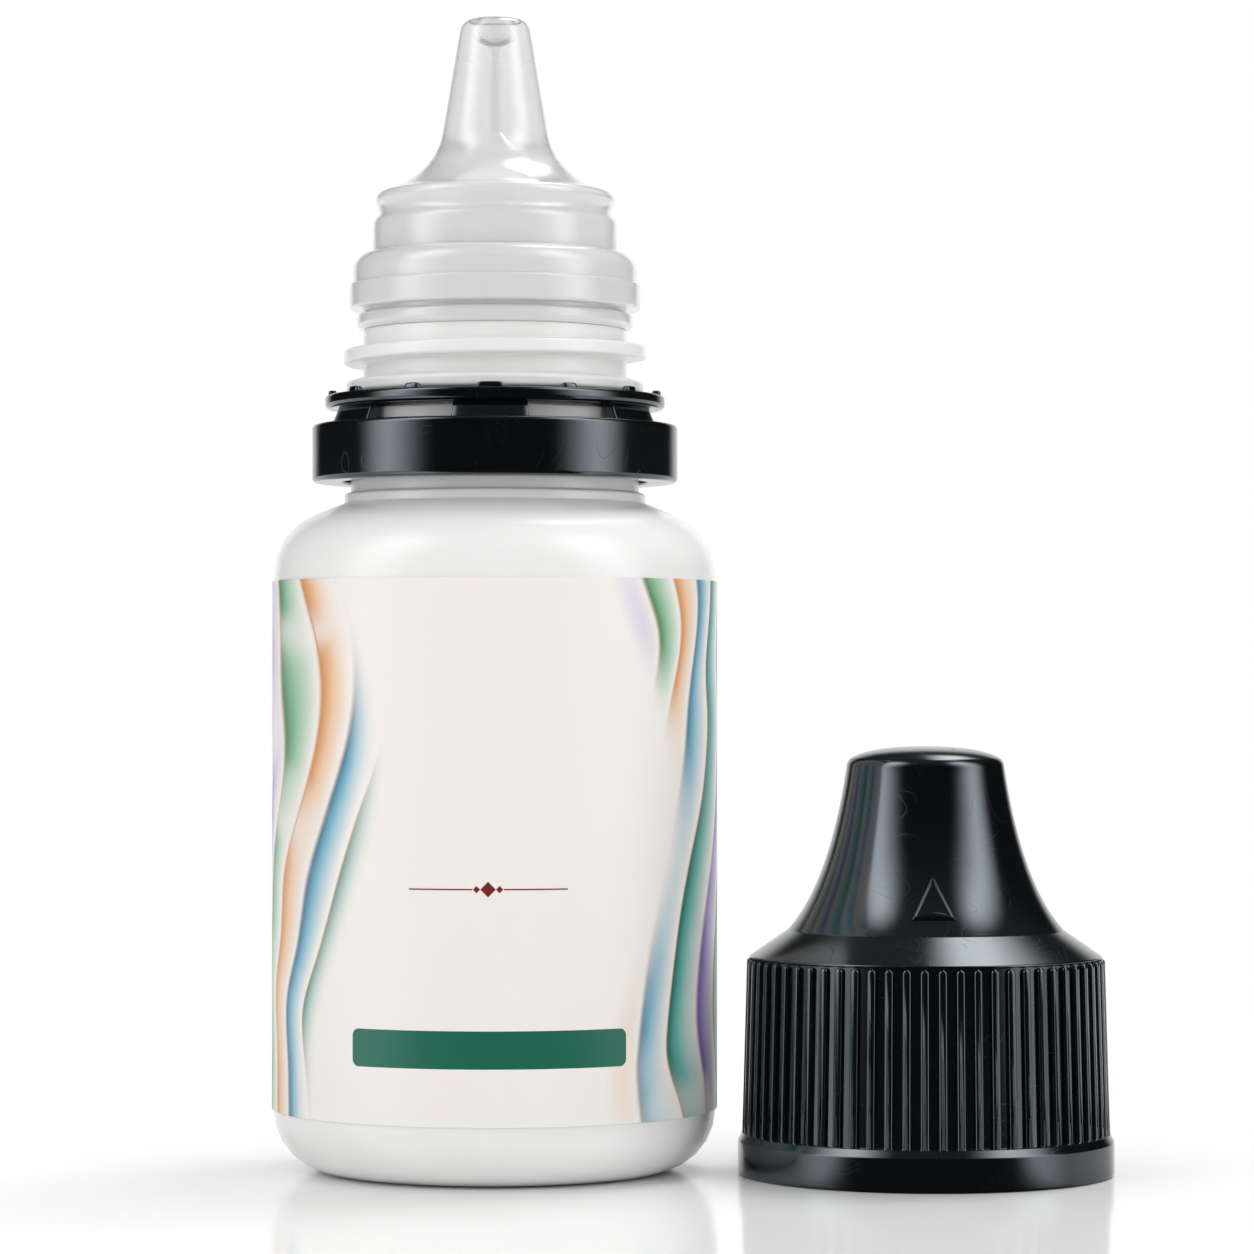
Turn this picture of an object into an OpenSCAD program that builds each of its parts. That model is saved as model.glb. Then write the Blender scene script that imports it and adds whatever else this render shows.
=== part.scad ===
// Squeeze bottle for eye drops with its dropper head, the tamper ring left on its neck and
// its screw cap taken off and standing mouth down beside it. Millimetres, Z up, front to -Y.
// The origin is the middle of the ring that the bottle stands on.

/* [Bottle] */
// Outer diameter of the bare body
body_d = 24.76; // [22:0.02:30]
// Height at which the straight body ends and the shoulder starts
body_h = 33.4; // [28:0.1:45]
// Wall of the body, the base and the shoulder
wall = 1; // [0.7:0.05:1.3]
// Radius of the round foot
foot_r = 3.4; // [2.2:0.1:4.4]
// Depth of the hollow under the base
push_up = 0.8; // [0.4:0.1:1.2]
// Width of the ring that the bottle stands on
stand_w = 1.2; // [0.8:0.1:2]
// Radius of the round shoulder
shoulder_r = 3.55; // [2.6:0.05:4.4]
// Rise of the shoulder towards the neck, in degrees
shoulder_slope = 22; // [14:1:30]

/* [Label] */
// Thickness of the label's film
film_t = 0.1; // [0.06:0.01:0.2]
// Layer of glue between the bottle and the film
glue_t = 0.02; // [0.01:0.01:0.05]
// Bare height left under the label, above the round foot
label_foot = 0.1; // [0:0.1:3]
// Bare height left over the label, below the shoulder
label_head = 0.4; // [0:0.1:3]
// Width of the film's overlap at the back
label_lap = 3; // [2:0.5:8]

/* [Neck] */
// Diameter of the bead at the foot of the neck
foot_bead_d = 16.9; // [16.7:0.05:17.6]
// Height of that bead
foot_bead_h = 0.55; // [0.3:0.05:0.8]
// Diameter of the neck's lower part, inside the tamper ring
low_neck_d = 16.2; // [16:0.05:16.6]
// Height of the lower part, from the shoulder to its ledge
low_neck_h = 5.2; // [4.6:0.1:7]
// Diameter of the upper part, at the root of the thread
neck_d = 14.8; // [14.3:0.05:15.1]
// Height of the upper part, from the ledge to the spigot
neck_h = 4.5; // [4.5:0.1:7]
// Bore of the neck
bore_d = 11.8; // [11.2:0.1:12.2]
// Diameter of the spigot that carries the dropper head
spigot_d = 13.8; // [13.4:0.05:14.1]
// Height of the spigot
spigot_h = 2.3; // [2.1:0.1:3.5]
// How far the spigot's snap bead stands out
snap = 0.2; // [0.1:0.02:0.3]

/* [Thread] */
// Crest diameter of the neck's thread
thread_d = 17; // [16.8:0.05:17.5]
// Rise of the thread in one turn
thread_lead = 0.65; // [0.4:0.05:1]
// Height of the thread's middle above the ledge
thread_up = 3.15; // [3.05:0.05:3.4]
// Height of the ridge at its root
thread_root_h = 1.05; // [1:0.05:1.3]
// Height of the ridge at its crest
thread_crest_h = 0.75; // [0.4:0.05:0.9]
// Angle that the thread runs round, in degrees
thread_sweep = 340; // [270:5:345]
// Diameter of the bead that holds the tamper ring down
retain_d = 16.7; // [16.5:0.05:16.9]

/* [Dropper head] */
// Diameter of the nozzle's drum
drum_d = 13.8; // [13.4:0.1:14]
// Height of the drum's top bead over the nozzle's foot
drum_h = 4.5; // [4:0.1:6]
// Height of the nozzle over its foot
nozzle_h = 14.72; // [13:0.02:18]
// Diameter of the spout at its root
spout_root_d = 5.9; // [5.4:0.1:6.4]
// Diameter of the spout at its tip
spout_tip_d = 4; // [3.6:0.1:4.4]
// Wall of the nozzle's drum
drum_wall = 0.95; // [0.8:0.05:1.2]
// Thickness of the nozzle's foot flange
foot_t = 0.65; // [0.5:0.05:0.9]
// Diameter of the nozzle's foot flange
foot_d = 15; // [14.6:0.1:15.1]
// Diameter of the cup in the tip
cup_d = 1.7; // [1.4:0.1:1.9]
// Depth of the cup in the tip
cup_depth = 1.5; // [1:0.1:2]
// Diameter of the nozzle's fine channel
channel_d = 0.5; // [0.4:0.05:0.7]
// Diameter of the snap collar
collar_d = 16; // [15.8:0.05:16.2]
// Diameter of the collar's flange
flange_d = 16.4; // [16.25:0.05:16.5]
// Diameter of the collar's lower lip
lip_d = 15.56; // [15.3:0.02:15.8]
// Thickness of the collar over the nozzle's foot
collar_top_t = 0.8; // [0.6:0.05:1.1]

/* [Flow insert, vent and valve] */
// Thickness of the insert's disc on the bottle's rim
disc_t = 0.6; // [0.5:0.05:0.9]
// Height of the insert's skirt in the neck
skirt_h = 4; // [3:0.1:6]
// Wall of the skirt
skirt_wall = 0.9; // [0.6:0.05:1.1]
// Outer diameter of the insert's liquid tube
tube_d = 3.2; // [2.8:0.1:3.4]
// Bore of the liquid tube
tube_bore_d = 1.2; // [0.8:0.1:1.4]
// Height of the liquid tube over the disc
tube_up = 2.4; // [1.8:0.1:2.8]
// Diameter of a vent hole in the disc
vent_d = 0.6; // [0.4:0.05:0.8]
// Number of vent holes
vent_count = 4; // [2:1:6]
// Thickness of the vent filter
filter_t = 0.8; // [0.5:0.05:1.2]
// Diameter of the valve's flange
valve_d = 9.2; // [8.8:0.1:9.6]
// Thickness of the valve's flange
valve_flange_t = 0.7; // [0.5:0.05:0.9]

/* [Tamper ring] */
// Outer diameter of the ring's band
ring_d = 20.54; // [20:0.02:21.2]
// Outer diameter of the ring's thin top hoop
hoop_d = 19.1; // [18.8:0.05:19.4]
// Height of the top hoop
hoop_h = 0.75; // [0.7:0.05:1]
// Height of the windows between band and hoop
window_h = 0.9; // [0.5:0.05:1.1]
// Number of webs across the windows
web_count = 6; // [4:1:8]
// Angle that one web spans, in degrees
web_span = 26; // [16:1:34]
// Number of broken bridge stubs on the hoop
stub_count = 13; // [8:1:16]
// Height of a stub
stub_h = 0.25; // [0.15:0.05:0.4]

/* [Cap] */
// Diameter of the cap's foot band
band_d = 20.94; // [20.7:0.02:21.6]
// Height of the foot band
band_h = 1.85; // [1.4:0.05:3]
// Diameter of the grip between its ribs, at its lower end
grip_low_d = 19.9; // [19.4:0.05:20.2]
// Diameter of the grip between its ribs, at its upper end
grip_top_d = 19.36; // [19:0.02:19.9]
// Number of grip ribs
rib_count = 64; // [40:1:72]
// Width of a rib
rib_w = 0.5; // [0.3:0.05:0.6]
// How far a rib stands out
rib_h = 0.28; // [0.15:0.01:0.32]
// Diameter of the cap's neck at its top edge
cap_top_d = 8.8; // [8.2:0.1:9.6]
// Head of the cap over the nozzle's tip, when the cap is on
cap_head = 3.1; // [2.6:0.05:4]
// Thickness of the cap's top
cap_top_t = 1.6; // [1.2:0.1:2]
// Width of the raised triangle
mark_w = 2.4; // [1.5:0.1:3]
// Height of the raised triangle
mark_h = 2.5; // [1.5:0.1:3]
// How far the triangle stands out
mark_t = 0.22; // [0.1:0.02:0.4]
// Gap between the bottle and the cap that stands beside it
cap_gap = 1.2; // [0.5:0.1:30]
// Direction of the standing cap, seen from the bottle, in degrees
cap_bearing = -4.8; // [-180:0.1:180]

/* [Fits] */
// Gap between pieces of the head that are pressed together
fit = 0.05; // [0.03:0.01:0.08]
// Running gap over and under the tamper ring's hoop
ride = 0.1; // [0.05:0.01:0.2]
// Gap round the neck inside the hoop
hoop_gap = 0.4; // [0.3:0.05:0.5]
// Gap round the neck inside the ring's band
band_gap = 0.5; // [0.3:0.05:0.7]
// Gap between the neck's thread and the cap's bore
thread_gap = 0.1; // [0.05:0.01:0.2]
// Gap between the collar's flange and the cap's thread
pass_gap = 0.07; // [0.04:0.01:0.1]

/* [Hidden] */
$fn = 96;

white = [0.95, 0.95, 0.94];
cream = [0.96, 0.94, 0.92];
frosted = [0.86, 0.88, 0.88];
natural = [0.9, 0.91, 0.9];
felt = [0.8, 0.82, 0.84];
silicone = [0.78, 0.84, 0.88];
black = [0.07, 0.08, 0.09];

// Small edge breaks
edge = 0.15;
round_edge = 0.25;
// Length that a cut runs past a face
past = 1;

// Radii of the bottle
body_r = body_d / 2;
bore_r = bore_d / 2;
neck_r = neck_d / 2;
low_neck_r = low_neck_d / 2;
foot_bead_r = foot_bead_d / 2;
retain_r = retain_d / 2;
spigot_r = spigot_d / 2;
label_r = body_r + glue_t + film_t;

// Levels of the bottle, each built on the one below
shoulder_end = 90 - shoulder_slope;
shoulder_x = body_r - shoulder_r;
neck_z = body_h + shoulder_r * sin(shoulder_end)
    + (shoulder_x + shoulder_r * cos(shoulder_end) - foot_bead_r) * tan(shoulder_slope);
ledge_z = neck_z + low_neck_h;
spigot_z = ledge_z + neck_h;
rim_z = spigot_z + spigot_h;
inner_shoulder_r = shoulder_r - wall;
bore_z = body_h + inner_shoulder_r * sin(shoulder_end)
    + (shoulder_x + inner_shoulder_r * cos(shoulder_end) - bore_r) * tan(shoulder_slope);
stand_out_r = body_r - foot_r;
stand_in_r = stand_out_r - stand_w;

// The retaining bead, just over the tamper ring's hoop
hoop_z = ledge_z + ride;
retain_z = hoop_z + hoop_h + ride;
retain_crest_h = 0.65;
retain_ramp_h = 0.25;

// The snap bead on the spigot, in the collar's groove
snap_up = 0.95;
snap_z = spigot_z + snap_up;
snap_h = 0.65;

// Levels of the dropper head
disc_z = rim_z;
head_z = disc_z + disc_t;
collar_seat_z = head_z + foot_t + fit;
collar_top_z = collar_seat_z + collar_top_t;
tip_z = head_z + nozzle_h;
drum_r = drum_d / 2;
foot_rim_r = foot_d / 2;
collar_r = collar_d / 2;
flange_r = flange_d / 2;
lip_r = lip_d / 2;
lip_z = spigot_z + fit;
lip_h = 0.9;
lip_round = 0.35;
waist_h = 0.25;
waist_wall = 0.3;
flange_z = lip_z + lip_h + waist_h;
flange_h = 1.45;
collar_groove_r = spigot_r + snap + fit;
waist_r = collar_groove_r + waist_wall;
collar_round_r = 1;

// The nozzle's drum bead, with the groove under it, and its flank, which starts and ends with
// a lead along these two steps
bead_bulge = 0.44;
bead_r = drum_r - 0.6;
bead_z = head_z + drum_h;
groove_r = drum_r - 0.35;
groove_low_z = bead_z - 1.5;
groove_mid_z = bead_z - 1.05;
groove_top_z = bead_z - 0.6;
flank_z = bead_z + bead_bulge;
flank_h = 3.5;
flank_lead = [-1.7, 0.65];
flank_end = [0.25, -1.8];
spout_z = flank_z + flank_h;
spout_root_r = spout_root_d / 2;
spout_tip_r = spout_tip_d / 2;
tip_round = 0.8;
flank = [
    [bead_r, flank_z],
    [bead_r, flank_z] + flank_lead,
    [spout_root_r, spout_z] + flank_end,
    [spout_root_r, spout_z]
];

// The cup in the tip and the hollow of the drum
cup_r = cup_d / 2;
cup_round = 0.35;
cup_drop = 0.25;
tip_step = 0.3;
tip_recess_r = cup_r + tip_step;
tip_recess_h = 0.55;
channel_r = channel_d / 2;
drum_roof_t = 1.05;
drum_roof_z = flank_z - drum_roof_t;
roof_chamfer = 0.5;
well_r = 2.4;
well_top_r = 1.2;
well_stop = 1.8;
well_top_z = spout_z - well_stop;
well_cone_h = 1.4;
clamp_inset = 0.1;
clamp_wall = 0.8;
clamp_out_r = valve_d / 2 - clamp_inset;
clamp_in_r = clamp_out_r - clamp_wall;

// The flow insert, its filter and the valve on it
plug_r = bore_r - fit;
skirt_in_r = plug_r - skirt_wall;
disc_r = spigot_r - edge;
tube_r = tube_d / 2;
tube_down = 3;
vent_ring_r = (tube_r + skirt_in_r) / 2;

// The valve's bell over the liquid tube: its foot, its flank, its crown and the slit in that
valve_h = 6.4;
valve_top_z = head_z + valve_h;
bell_foot_r = tube_r + 1.5;
bell_low_r = tube_r + 0.65;
bell_low_h = 0.9;
bell_mid_r = tube_r + 0.4;
bell_mid_h = 1.9;
bell_top_r = tube_r + 0.1;
crown_h = 1.3;
crown_r = 0.9;
crown_round_h = 0.2;
crown_in_h = 1.9;
slit_r = 0.15;
slit_h = 0.8;
tube_clear = 0.2;

// The tamper ring
ring_r = ring_d / 2;
hoop_r = hoop_d / 2;
hoop_in_r = neck_r + hoop_gap;
band_in_r = low_neck_r + band_gap;
ring_low_gap = 0.62;
ring_low_z = neck_z + foot_bead_h + ring_low_gap;
ring_band_z = hoop_z - window_h;
web_t = 0.75;
web_inset = 0.1;
stub_inset = 0.4;
stub_r = hoop_r - stub_inset;
stub_w = 0.9;
stub_depth = 0.5;
front_stub_w = 1.55;

// The cap, in its own frame with its mouth at zero
break_gap = 0.35;
cap_seat_z = hoop_z + hoop_h + stub_h + break_gap;
tip_in_cap = tip_z - cap_seat_z;
shoulder_in_cap = flank_z - cap_seat_z;
cap_h = tip_in_cap + cap_head;
band_r = band_d / 2;
band_slope_h = 0.42;
band_ledge = 0.03;
grip_low_r = grip_low_d / 2;
grip_top_r = grip_top_d / 2;
grip_low_z = band_h + band_slope_h;
grip_over_drum = 1.11;
grip_top_z = shoulder_in_cap + grip_over_drum;
chamfer_r = 7.7;
chamfer_h = 1.53;
chamfer_z = grip_top_z + chamfer_h;
cap_top_r = cap_top_d / 2;
dome_h = 1.15;
dome_round = 0.6;
dome_round_deg = 65;
dome_z = cap_h - dome_h;
flare_lead = [-1.4, 1.5];
flare_end = [0.7, -4.7];
flare = [
    [chamfer_r, chamfer_z],
    [chamfer_r, chamfer_z] + flare_lead,
    [cap_top_r, dome_z] + flare_end,
    [cap_top_r, dome_z]
];
cap_bore_r = thread_d / 2 + thread_gap;
cap_thread_r = flange_r + pass_gap;
bore_step = 0.3;
cap_upper_r = cap_bore_r - bore_step;
thread_bay_h = 6.4;
cap_thread_z = 0.95;
cap_thread_root_h = 0.75;
cap_thread_crest_h = 0.35;
throat_gap = 0.1;
throat_z = shoulder_in_cap + throat_gap;
throat_r = 6.4;
throat_h = 1.9;
cavity_top_r = 3;
cavity_top_z = cap_h - cap_top_t;
cavity_lead = [-1.3, 1.7];
cavity_end = [0.8, -4.7];
cavity = [
    [throat_r, throat_z + throat_h],
    [throat_r, throat_z + throat_h] + cavity_lead,
    [cavity_top_r, cavity_top_z] + cavity_end,
    [cavity_top_r, cavity_top_z]
];
seal_r = 1.6;
seal_gap = 0.3;
rib_stop = 0.08;
rib_top_z = grip_top_z - rib_stop;
rib_bury = 0.4;
rib_phase = 1.6;
mark_at = 0.3;
mark_bury = 0.6;
cap_reach = label_r + cap_gap + band_r;
cap_x = cap_reach * cos(cap_bearing);
cap_y = cap_reach * sin(cap_bearing);

// Points along an arc round [x, z], from angle a0 to a1
function arc(x, z, r, a0, a1, steps = 10) = [
    for (i = [0 : steps])
        let (a = a0 + (a1 - a0) * i / steps)
        [x + r * cos(a), z + r * sin(a)]
];

// One point of a cubic Bezier curve with the four control points p
function curve_point(p, t) =
    let (s = 1 - t)
    s * s * s * p[0] + 3 * s * s * t * p[1] + 3 * s * t * t * p[2] + t * t * t * p[3];

// Direction of that curve at t
function curve_way(p, t) =
    let (s = 1 - t)
    s * s * (p[1] - p[0]) + 2 * s * t * (p[2] - p[1]) + t * t * (p[3] - p[2]);

// Points along that curve
function curve(p, steps = 14) = [for (i = [0 : steps]) curve_point(p, i / steps)];

// A helical ridge of trapezoid section that starts and ends with a fade, its gap at the back.
// The section runs from root_r to crest_r, so a smaller crest makes an inside thread.
module helical_ridge(root_r, crest_r, root_h, crest_h, mid_z) {
    steps = 60;
    fade_deg = 24;
    bury = 0.25;
    sink = 0.02;
    out = crest_r > root_r ? 1 : -1;
    foot = root_r - out * bury;
    rings = [
        for (i = [0 : steps])
            let (
                turn = thread_sweep * (i / steps - 0.5),
                a = turn - 90,
                ends = min(thread_sweep / 2 - abs(turn), fade_deg) / fade_deg,
                full = sqrt(max(ends, 0)),
                crest = root_r + (crest_r - root_r) * full - out * sink * (1 - full),
                z = mid_z + thread_lead * turn / 360,
                low = [[foot, z - root_h / 2], [crest, z - crest_h / 2]],
                high = [[crest, z + crest_h / 2], [foot, z + root_h / 2]],
                section = out > 0 ? concat(low, high) : [low[1], low[0], high[1], high[0]]
            )
            for (p = section) [p[0] * cos(a), p[0] * sin(a), p[1]]
    ];
    sides = [
        for (i = [0 : steps - 1])
            for (j = [0 : 3])
                let (
                    p = 4 * i + j,
                    q = 4 * i + (j + 1) % 4
                )
                for (face = [[p, q, q + 4], [p, q + 4, p + 4]]) face
    ];
    ends = [[3, 2, 1, 0], [for (j = [0 : 3]) 4 * steps + j]];
    polyhedron(rings, concat(sides, ends));
}

module bottle_outline() {
    polygon(concat(
        [[0, push_up], [stand_in_r - push_up, push_up], [stand_in_r, 0]],
        arc(stand_out_r, foot_r, foot_r, -90, 0),
        arc(shoulder_x, body_h, shoulder_r, 0, shoulder_end),
        [
            [foot_bead_r, neck_z],
            [foot_bead_r, neck_z + foot_bead_h - edge],
            [foot_bead_r - edge, neck_z + foot_bead_h],
            [low_neck_r, neck_z + foot_bead_h],
            [low_neck_r, ledge_z - edge],
            [low_neck_r - edge, ledge_z],
            [neck_r, ledge_z],
            [neck_r, retain_z],
            [retain_r - edge, retain_z],
            [retain_r, retain_z + edge],
            [retain_r, retain_z + retain_crest_h],
            [neck_r, retain_z + retain_crest_h + retain_ramp_h],
            [neck_r, spigot_z],
            [spigot_r, spigot_z],
            [spigot_r, snap_z],
            [spigot_r + snap, snap_z + edge],
            [spigot_r + snap, snap_z + 2 * edge],
            [spigot_r, snap_z + snap_h],
            [spigot_r, rim_z - edge],
            [spigot_r - edge, rim_z],
            [0, rim_z]
        ]
    ));
}

module bottle_hollow() {
    polygon(concat(
        [[0, push_up + wall], [stand_in_r - push_up, push_up + wall], [stand_in_r, wall]],
        arc(stand_out_r, foot_r, foot_r - wall, -90, 0),
        arc(shoulder_x, body_h, inner_shoulder_r, 0, shoulder_end),
        [[bore_r, bore_z], [bore_r, rim_z + past], [0, rim_z + past]]
    ));
}

// Blown bottle with its moulded neck finish
module bottle() {
    color(white)
    difference() {
        union() {
            rotate_extrude() bottle_outline();
            helical_ridge(
                neck_r, thread_d / 2, thread_root_h, thread_crest_h, ledge_z + thread_up
            );
        }
        rotate_extrude() bottle_hollow();
    }
}

// Film wrapped once round the body, with its outer end lapped over the inner one at the back
module label() {
    film_in_r = body_r + glue_t;
    low = foot_r + label_foot;
    high = body_h - label_head;
    lap_deg = label_lap / label_r * 180 / PI;
    color(cream) {
        rotate_extrude()
            translate([film_in_r, low]) square([film_t, high - low]);
        rotate(90 - lap_deg / 2)
            rotate_extrude(angle = lap_deg)
            translate([film_in_r + film_t / 2, low]) square([1.5 * film_t, high - low]);
    }
}

// Plug pressed into the neck: a disc on the rim, a sealing skirt, the liquid tube and the vents
module flow_insert() {
    color(natural)
    difference() {
        rotate_extrude()
            polygon([
                [0, disc_z - tube_down],
                [tube_r, disc_z - tube_down],
                [tube_r, disc_z],
                [skirt_in_r, disc_z],
                [skirt_in_r, disc_z - skirt_h],
                [plug_r - 2 * edge, disc_z - skirt_h],
                [plug_r, disc_z - skirt_h + 3 * edge],
                [plug_r, disc_z],
                [disc_r, disc_z],
                [disc_r, disc_z + disc_t],
                [tube_r, disc_z + disc_t],
                [tube_r, disc_z + disc_t + tube_up],
                [0, disc_z + disc_t + tube_up]
            ]);
        translate([0, 0, disc_z - tube_down - past])
            cylinder(h = tube_down + disc_t + tube_up + 2 * past, d = tube_bore_d);
        for (i = [0 : vent_count - 1])
            rotate((i + 0.5) * 360 / vent_count)
                translate([vent_ring_r, 0, disc_z - past])
                cylinder(h = disc_t + 2 * past, d = vent_d);
    }
}

// Porous ring under the insert's disc, which cleans the air that the bottle draws in
module vent_filter() {
    color(felt)
    rotate_extrude()
        translate([tube_r + fit, disc_z - filter_t])
        square([skirt_in_r - tube_r - 2 * fit, filter_t]);
}

// Soft bell over the liquid tube, which opens under pressure and closes again
module valve() {
    flange_top = head_z + valve_flange_t;
    color(silicone)
    rotate_extrude()
        polygon([
            [tube_r + fit, head_z],
            [valve_d / 2, head_z],
            [valve_d / 2, flange_top],
            [bell_foot_r, flange_top],
            [bell_low_r, flange_top + bell_low_h],
            [bell_mid_r, flange_top + bell_mid_h],
            [bell_top_r, valve_top_z - crown_h],
            [crown_r, valve_top_z - crown_round_h],
            [slit_r, valve_top_z],
            [slit_r, valve_top_z - slit_h],
            [crown_r, valve_top_z - crown_in_h],
            [tube_r + fit, head_z + tube_up + tube_clear]
        ]);
}

module nozzle_outline() {
    polygon(concat(
        [
            [0, head_z],
            [foot_rim_r, head_z],
            [foot_rim_r, head_z + foot_t],
            [drum_r, head_z + foot_t]
        ],
        curve([
            [drum_r, groove_low_z],
            [drum_r, groove_mid_z],
            [groove_r, groove_mid_z],
            [groove_r, groove_top_z]
        ], 6),
        arc(bead_r, bead_z, bead_bulge, -35, 90),
        curve(flank),
        arc(spout_tip_r - tip_round, tip_z - tip_round, tip_round, 0, 90),
        [[0, tip_z]]
    ));
}

// Drum, well and channel inside the nozzle, with the cup that the cap's seal enters
module nozzle_hollow() {
    drum_in_r = drum_r - drum_wall;
    polygon([
        [0, head_z - past],
        [drum_in_r, head_z - past],
        [drum_in_r, drum_roof_z - roof_chamfer],
        [drum_in_r - roof_chamfer, drum_roof_z],
        [well_r, drum_roof_z],
        [well_top_r, well_top_z],
        [channel_r, well_top_z + well_cone_h],
        [channel_r, tip_z - cup_depth - cup_drop],
        [cup_r - cup_round, tip_z - cup_depth],
        [cup_r, tip_z - cup_depth + cup_round],
        [cup_r, tip_z - tip_recess_h],
        [tip_recess_r, tip_z - tip_recess_h],
        [tip_recess_r, tip_z + past],
        [0, tip_z + past]
    ]);
}

// Dropper nozzle: foot flange, drum, flank and spout, with a ring wall that clamps the valve
module nozzle() {
    clamp_z = head_z + valve_flange_t + fit;
    color(frosted) {
        difference() {
            rotate_extrude() nozzle_outline();
            rotate_extrude() nozzle_hollow();
        }
        rotate_extrude()
            translate([clamp_in_r, clamp_z])
            square([clamp_wall, drum_roof_z + edge - clamp_z]);
    }
}

// Collar snapped over the spigot's bead, which holds the nozzle's foot down
module snap_collar() {
    hole_r = drum_r + fit;
    color(frosted)
    rotate_extrude()
        polygon(concat(
            [
                [spigot_r + fit, lip_z]
            ],
            arc(lip_r - lip_round, lip_z + lip_round, lip_round, -90, 0, 4),
            arc(lip_r - lip_round, lip_z + lip_h - lip_round, lip_round, 0, 90, 4),
            [
                [waist_r, lip_z + lip_h],
                [waist_r, flange_z],
                [flange_r - edge, flange_z],
                [flange_r, flange_z + edge],
                [flange_r, flange_z + flange_h - edge],
                [flange_r - edge, flange_z + flange_h],
                [collar_r, flange_z + flange_h]
            ],
            arc(collar_r - collar_round_r, collar_top_z - collar_round_r, collar_round_r, 0, 80),
            [
                [hole_r, collar_top_z],
                [hole_r, collar_seat_z],
                [foot_rim_r + fit, collar_seat_z],
                [foot_rim_r + fit, rim_z],
                [collar_groove_r, rim_z],
                [collar_groove_r, snap_z - fit],
                [spigot_r + fit, snap_z - fit]
            ]
        ));
}

module web_outline() {
    polygon([
        [hoop_r - web_inset - web_t, ring_band_z - edge],
        [hoop_r - web_inset, ring_band_z - edge],
        [hoop_r + edge - web_t, hoop_z + edge],
        [hoop_r + edge - 2 * web_t, hoop_z + edge]
    ]);
}

// Ring that tore off the cap: a band, a thin hoop held under the retaining bead, webs between
// them and the stubs of the broken bridges, the one in front wider than the rest
module tamper_ring() {
    color(black) {
        rotate_extrude()
            polygon(concat(
                [[band_in_r, ring_low_z], [ring_r - round_edge, ring_low_z]],
                arc(ring_r - round_edge, ring_low_z + round_edge, round_edge, -90, 0, 4),
                arc(ring_r - round_edge, ring_band_z - round_edge, round_edge, 0, 90, 4),
                [[band_in_r, ring_band_z]]
            ));
        rotate_extrude()
            polygon([
                [hoop_in_r, hoop_z],
                [hoop_r - edge, hoop_z],
                [hoop_r, hoop_z + edge],
                [hoop_r, hoop_z + hoop_h - edge],
                [hoop_r - edge, hoop_z + hoop_h],
                [hoop_in_r, hoop_z + hoop_h]
            ]);
        for (i = [0 : web_count - 1])
            rotate(i * 360 / web_count - 90 - web_span / 2)
                rotate_extrude(angle = web_span) web_outline();
        for (i = [0 : stub_count - 1])
            rotate(i * 360 / stub_count)
                bridge_stub(i == 0 ? front_stub_w : stub_w);
    }
}

// One stub on the hoop's top, at the front before it is turned to its place
module bridge_stub(width) {
    translate([-width / 2, -stub_r - stub_depth / 2, hoop_z + hoop_h - edge])
        cube([width, stub_depth, stub_h + edge]);
}

module cap_outline() {
    dome_lead = [-0.6, 0.35];
    dome_rim = [
        cap_top_r - dome_round + dome_round * cos(dome_round_deg),
        dome_z + dome_round * sin(dome_round_deg)
    ];
    polygon(concat(
        [
            [0, 0],
            [band_r - edge, 0],
            [band_r, edge],
            [band_r, band_h],
            [grip_low_r + rib_h + band_ledge, grip_low_z],
            [grip_low_r, grip_low_z],
            [grip_top_r, grip_top_z]
        ],
        curve(flare),
        arc(cap_top_r - dome_round, dome_z, dome_round, 0, dome_round_deg, 6),
        curve([dome_rim, dome_rim + dome_lead, [cap_top_r / 2, cap_h], [0, cap_h]], 6)
    ));
}

module cap_hollow() {
    lead_in = 0.3;
    polygon(concat(
        [
            [0, -past],
            [cap_bore_r + lead_in, -past],
            [cap_bore_r + lead_in, 0],
            [cap_bore_r, lead_in],
            [cap_bore_r, thread_bay_h],
            [cap_upper_r, thread_bay_h + bore_step],
            [cap_upper_r, throat_z]
        ],
        curve(cavity),
        [[0, cavity_top_z]]
    ));
}

// Ribs with round upper ends, cut to a cone that runs parallel to the grip
module grip_ribs() {
    slope = (grip_low_r - grip_top_r) / (grip_top_z - grip_low_z);
    low_z = band_h - rib_bury;
    inner_r = grip_top_r - rib_bury;
    intersection() {
        rotate_extrude()
            polygon([
                [0, low_z],
                [grip_low_r + rib_h + slope * (grip_low_z - low_z), low_z],
                [grip_top_r + rib_h, grip_top_z],
                [0, grip_top_z]
            ]);
        for (i = [0 : rib_count - 1])
            rotate(rib_phase + i * 360 / rib_count)
                translate([0, -inner_r, 0])
                rotate([90, 0, 0])
                linear_extrude(band_r - inner_r)
                union() {
                    translate([-rib_w / 2, 0]) square([rib_w, rib_top_z - rib_w / 2]);
                    translate([0, rib_top_z - rib_w / 2]) circle(d = rib_w);
                }
    }
}

// Raised triangle on the front of the flare, laid flat against its slope
module opening_mark() {
    at = curve_point(flare, mark_at);
    way = curve_way(flare, mark_at);
    lean = atan2(-way[0], way[1]);
    translate([0, -at[0], at[1]])
        rotate([90 - lean, 0, 0])
        translate([0, 0, -mark_bury])
        linear_extrude(mark_bury + mark_t)
        polygon([[-mark_w / 2, -mark_h / 2], [mark_w / 2, -mark_h / 2], [0, mark_h / 2]]);
}

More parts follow.
